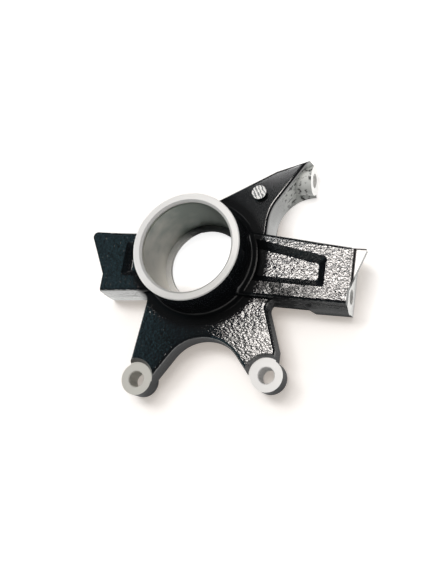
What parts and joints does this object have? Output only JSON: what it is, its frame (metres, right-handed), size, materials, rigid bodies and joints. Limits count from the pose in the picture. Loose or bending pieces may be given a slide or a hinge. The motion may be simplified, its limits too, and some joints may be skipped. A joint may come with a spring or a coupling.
{
  "type": "steering knuckle",
  "caption": "Cast steering knuckle: a bored bearing hub with two ball-joint arms, a steering arm with tie-rod boss, and an arched web with caliper ears.",
  "frame": {"origin": "centre of the wheel bearing seat, halfway between its shoulder and its circlip groove", "axes": "+Z along the bearing axis towards the mouth of the seat, +X towards the lower ball joint's arm, -Y towards the caliper ears"},
  "size_m": [0.197, 0.1737, 0.0536],
  "materials": {
    "painted_casting": "gloss black paint over cast aluminium, with bare machined faces"
  },
  "bodies": {
    "root": {"knuckle_casting": "painted_casting"}
  },
  "joints": []
}
